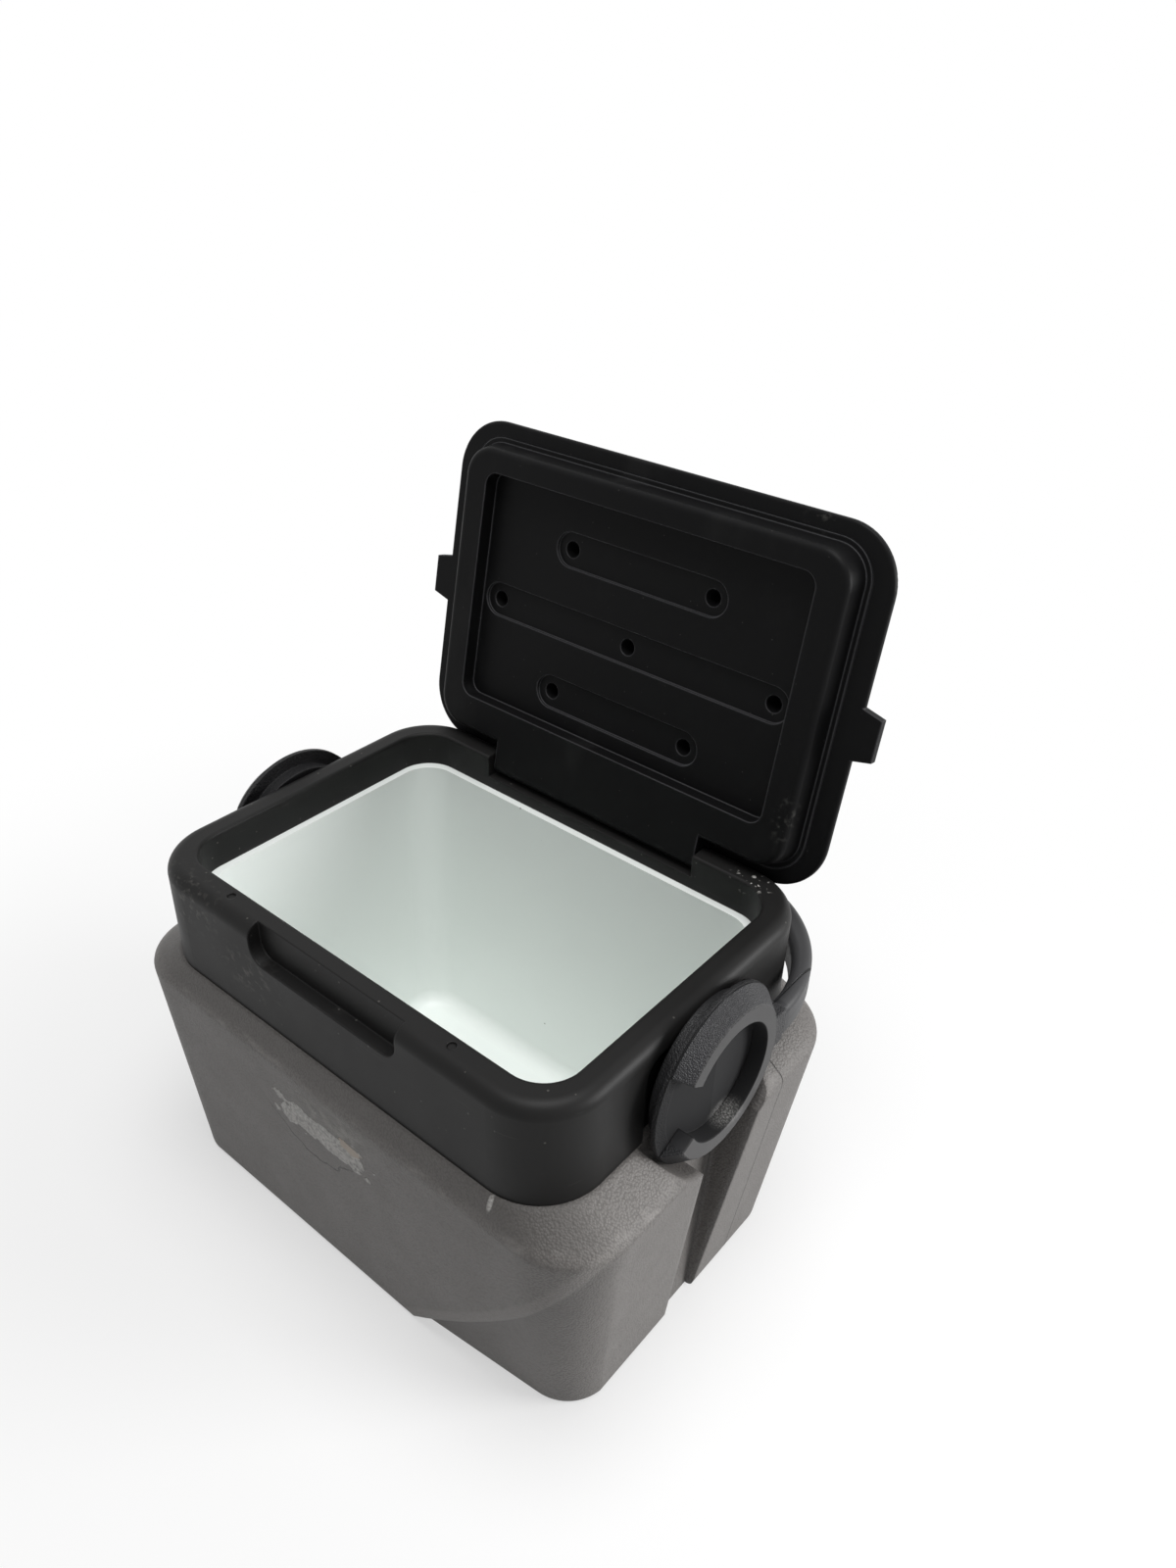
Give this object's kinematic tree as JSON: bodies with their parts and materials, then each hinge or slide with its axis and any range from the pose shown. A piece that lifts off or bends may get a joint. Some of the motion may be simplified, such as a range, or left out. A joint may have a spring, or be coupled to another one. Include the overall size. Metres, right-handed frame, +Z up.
{
  "type": "personal cooler",
  "caption": "Small insulated cooler: tapered grey tub, black collar and hinged lid, white food liner, and a bail handle that turns on C-shaped hubs at the ends.",
  "frame": {"origin": "on the floor plane, on the flat bottom of the base, under the middle of the food opening", "axes": "+X to the right end, +Y to the rear (hinge) side, +Z up; the long side of the cooler lies along X"},
  "size_m": [0.3882, 0.3189, 0.4836],
  "materials": {
    "grey_pebbled_plastic": "pebbled matte",
    "black_plastic": "fine satin grain",
    "black_lid_plastic": "fine satin grain",
    "charcoal_plastic": "fine grain",
    "white_liner_plastic": "smooth, slightly glossy",
    "insulation_foam": "closed-cell foam"
  },
  "bodies": {
    "body": {"base_shell": "grey_pebbled_plastic", "foam_plug": "grey_pebbled_plastic", "body_foam": "insulation_foam", "liner": "white_liner_plastic", "collar": "black_plastic", "rim_plugs": "black_plastic", "hinge_pin_left": "black_plastic", "hinge_pin_right": "black_plastic"},
    "lid": {"lid_cover": "black_lid_plastic", "lid_inner_panel": "black_lid_plastic", "lid_foam": "insulation_foam"},
    "handle": {"handle_bail": "charcoal_plastic", "hub_left": "charcoal_plastic", "hub_right": "charcoal_plastic", "hub_clip_left": "black_plastic", "hub_clip_right": "black_plastic"}
  },
  "joints": [
    {"name": "lid_hinge", "type": "hinge", "parent": "body", "child": "lid", "pos_m": [0, 0.1146, 0.2616], "axis": [1, 0, 0], "range_deg": [0, 100.9]},
    {"name": "handle_swing", "type": "hinge", "parent": "body", "child": "handle", "pos_m": [0, 0.002, 0.2235], "axis": [1, 0, 0], "range_deg": [0, 10]}
  ]
}
